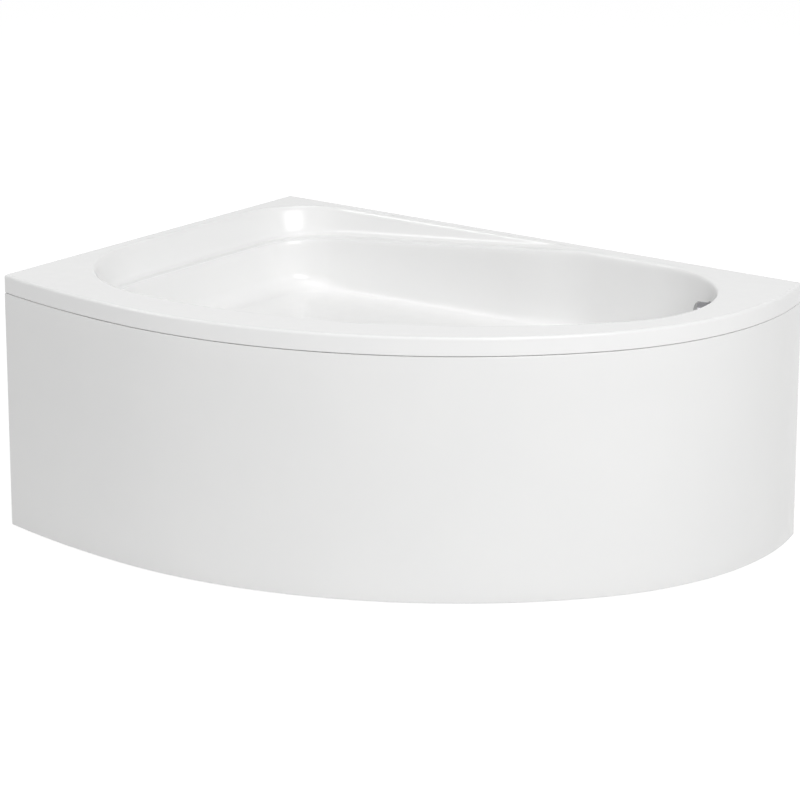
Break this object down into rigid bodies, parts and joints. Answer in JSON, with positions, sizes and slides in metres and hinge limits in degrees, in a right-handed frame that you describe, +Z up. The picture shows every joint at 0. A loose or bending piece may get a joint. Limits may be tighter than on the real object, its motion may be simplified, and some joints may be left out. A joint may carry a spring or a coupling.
{
  "type": "corner bathtub",
  "caption": "Offset corner bath with a bowed front panel, a corner seat, an arm ledge, a turning overflow knob that lifts the plug, and a steel underframe on levelling feet.",
  "frame": {"origin": "on the floor, under the middle of the bath's bounding box", "axes": "+X along the long wall towards the overflow end, +Y towards the long wall, +Z up from the floor to the rim"},
  "size_m": [1.4956, 1.0779, 0.59],
  "materials": {
    "white_acrylic": "high gloss sanitary acrylic",
    "panel_acrylic": "gloss acrylic capped sheet",
    "laminate": "rough sprayed glass fibre and resin",
    "chipboard": "sealed chipboard",
    "softwood": "sawn softwood",
    "galvanised_steel": "galvanised, dull",
    "zinc_steel": "bright zinc plate",
    "black_plastic": "moulded, fine texture",
    "white_plastic": "moulded polypropylene",
    "grey_hose": "flexible PVC",
    "chrome_plate": "polished chrome plate",
    "seal_rubber": "black moulded rubber",
    "brass_parts": "turned brass"
  },
  "bodies": {
    "bath": {"bath_shell": "white_acrylic", "glass_fibre_backing": "laminate", "base_board": "chipboard", "wall_batten_long": "softwood", "wall_batten_short": "softwood", "front_batten": "softwood", "frame_rail_left": "galvanised_steel", "frame_rail_middle": "galvanised_steel", "frame_rail_right": "galvanised_steel", "frame_ties_front": "galvanised_steel", "frame_ties_back": "galvanised_steel", "seat_post": "galvanised_steel", "board_screws": "zinc_steel", "rail_nuts": "zinc_steel", "lock_nuts": "zinc_steel", "panel_clips": "galvanised_steel", "clip_screws": "zinc_steel", "panel_toes": "galvanised_steel", "wall_brackets_long": "galvanised_steel", "wall_brackets_short": "galvanised_steel", "waste_flange": "chrome_plate", "waste_seal": "seal_rubber", "waste_body": "white_plastic", "trap_seal": "seal_rubber", "trap_nut": "white_plastic", "trap_body": "white_plastic", "trap_cap": "white_plastic", "outlet_pipe": "white_plastic", "outlet_nut": "white_plastic", "overflow_plate": "chrome_plate", "overflow_seal": "seal_rubber", "overflow_body": "white_plastic", "overflow_hose": "grey_hose", "hose_nuts": "white_plastic", "control_cable": "black_plastic"},
    "front_panel": {"apron_panel": "panel_acrylic", "panel_stiffeners": "chipboard"},
    "knob": {"overflow_knob": "chrome_plate", "control_spindle": "brass_parts"},
    "plug": {"waste_plug": "chrome_plate", "plug_seal": "seal_rubber", "plug_stem": "brass_parts"},
    "finger": {"lift_finger": "white_plastic"},
    "foot_1": {"foot_stud_1": "zinc_steel", "foot_pad_1": "black_plastic"},
    "foot_2": {"foot_stud_2": "zinc_steel", "foot_pad_2": "black_plastic"},
    "foot_3": {"foot_stud_3": "zinc_steel", "foot_pad_3": "black_plastic"},
    "foot_4": {"foot_stud_4": "zinc_steel", "foot_pad_4": "black_plastic"},
    "foot_5": {"foot_stud_5": "zinc_steel", "foot_pad_5": "black_plastic"},
    "foot_6": {"foot_stud_6": "zinc_steel", "foot_pad_6": "black_plastic"}
  },
  "joints": [
    {"name": "knob_turn", "type": "hinge", "parent": "bath", "child": "knob", "pos_m": [0.56661, 0.38943, 0.518], "axis": [-0.7351, -0.6619, 0.1466], "range_deg": [0, 90]},
    {"name": "plug_lift", "type": "slide", "parent": "bath", "child": "plug", "axis": [0, 0, 1], "range_m": [0, 0.008]},
    {"name": "finger_turn", "type": "hinge", "parent": "bath", "child": "finger", "pos_m": [0.34414, 0.20795, 0.1332], "axis": [-0.7431, -0.6691, 0], "range_deg": [0, 42]},
    {"name": "panel_pull", "type": "slide", "parent": "bath", "child": "front_panel", "axis": [0.5728, -0.8197, 0], "range_m": [0, 0.25]},
    {"name": "foot_1_level", "type": "slide", "parent": "bath", "child": "foot_1", "axis": [0, 0, 1], "range_m": [-0.015, 0.012]},
    {"name": "foot_2_level", "type": "slide", "parent": "bath", "child": "foot_2", "axis": [0, 0, 1], "range_m": [-0.015, 0.012]},
    {"name": "foot_3_level", "type": "slide", "parent": "bath", "child": "foot_3", "axis": [0, 0, 1], "range_m": [-0.015, 0.012]},
    {"name": "foot_4_level", "type": "slide", "parent": "bath", "child": "foot_4", "axis": [0, 0, 1], "range_m": [-0.015, 0.012]},
    {"name": "foot_5_level", "type": "slide", "parent": "bath", "child": "foot_5", "axis": [0, 0, 1], "range_m": [-0.015, 0.012]},
    {"name": "foot_6_level", "type": "slide", "parent": "bath", "child": "foot_6", "axis": [0, 0, 1], "range_m": [-0.015, 0.012]}
  ],
  "couplings": [
    {"joint": "plug_lift", "follows": "knob_turn", "m_per_rad": 0.005093},
    {"joint": "finger_turn", "follows": "knob_turn", "ratio": 0.4645}
  ]
}
